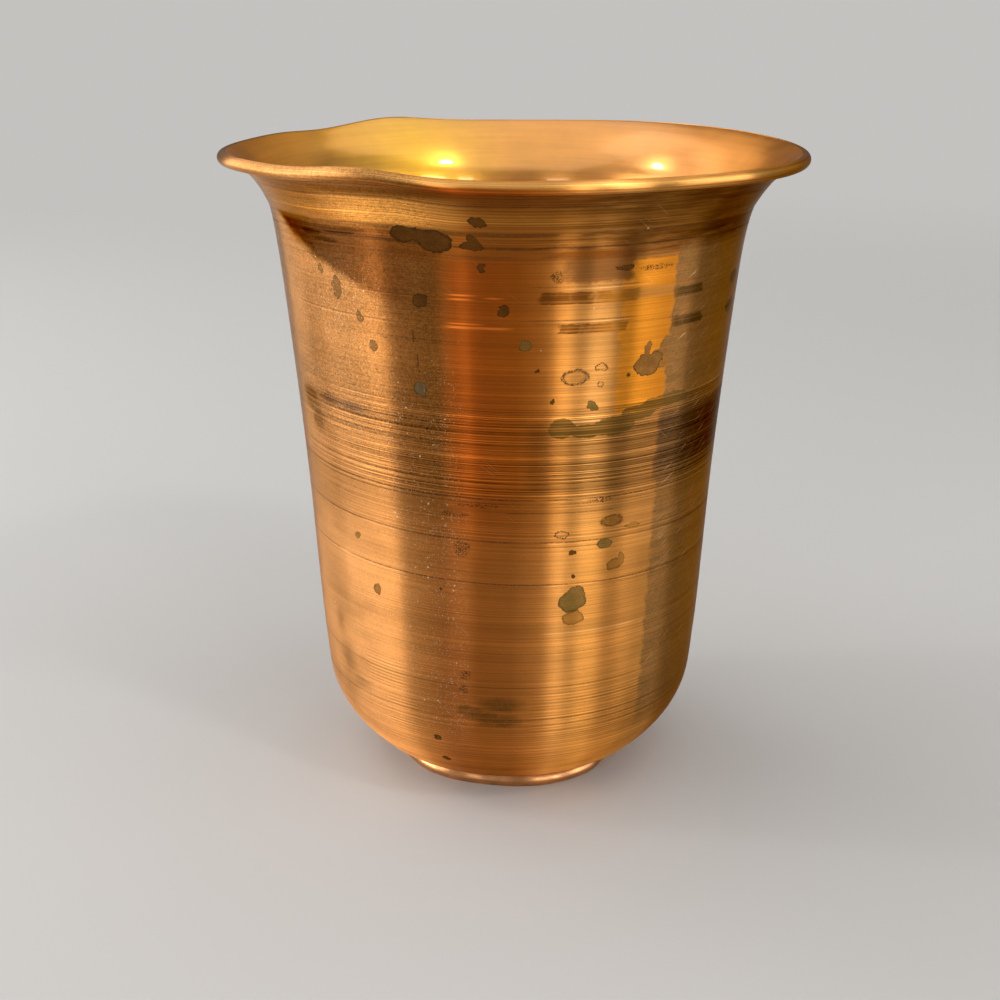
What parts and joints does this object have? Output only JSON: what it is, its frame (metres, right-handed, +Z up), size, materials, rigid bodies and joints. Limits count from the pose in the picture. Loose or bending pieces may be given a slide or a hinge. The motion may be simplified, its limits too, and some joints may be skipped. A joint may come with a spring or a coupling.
{
  "type": "copper tumbler",
  "caption": "Spun copper ritual tumbler with a rounded base, tapering wall, flared rolled lip and a short brazed foot ring.",
  "frame": {"origin": "on the surface that the tumbler stands on, under the middle of the cup", "axes": "+Z up along the cup's axis, -Y towards the side that the picture shows, +X to its right"},
  "size_m": [0.085, 0.0844, 0.0964],
  "materials": {
    "cup_copper": "satin copper with fine turning lines and dark tarnish spots",
    "foot_copper": "satin copper, worn at the edge it stands on",
    "braze": "dull yellow braze, as it flowed"
  },
  "bodies": {
    "root": {"cup_body": "cup_copper", "foot_ring": "foot_copper", "braze_fillet": "braze"}
  },
  "joints": []
}
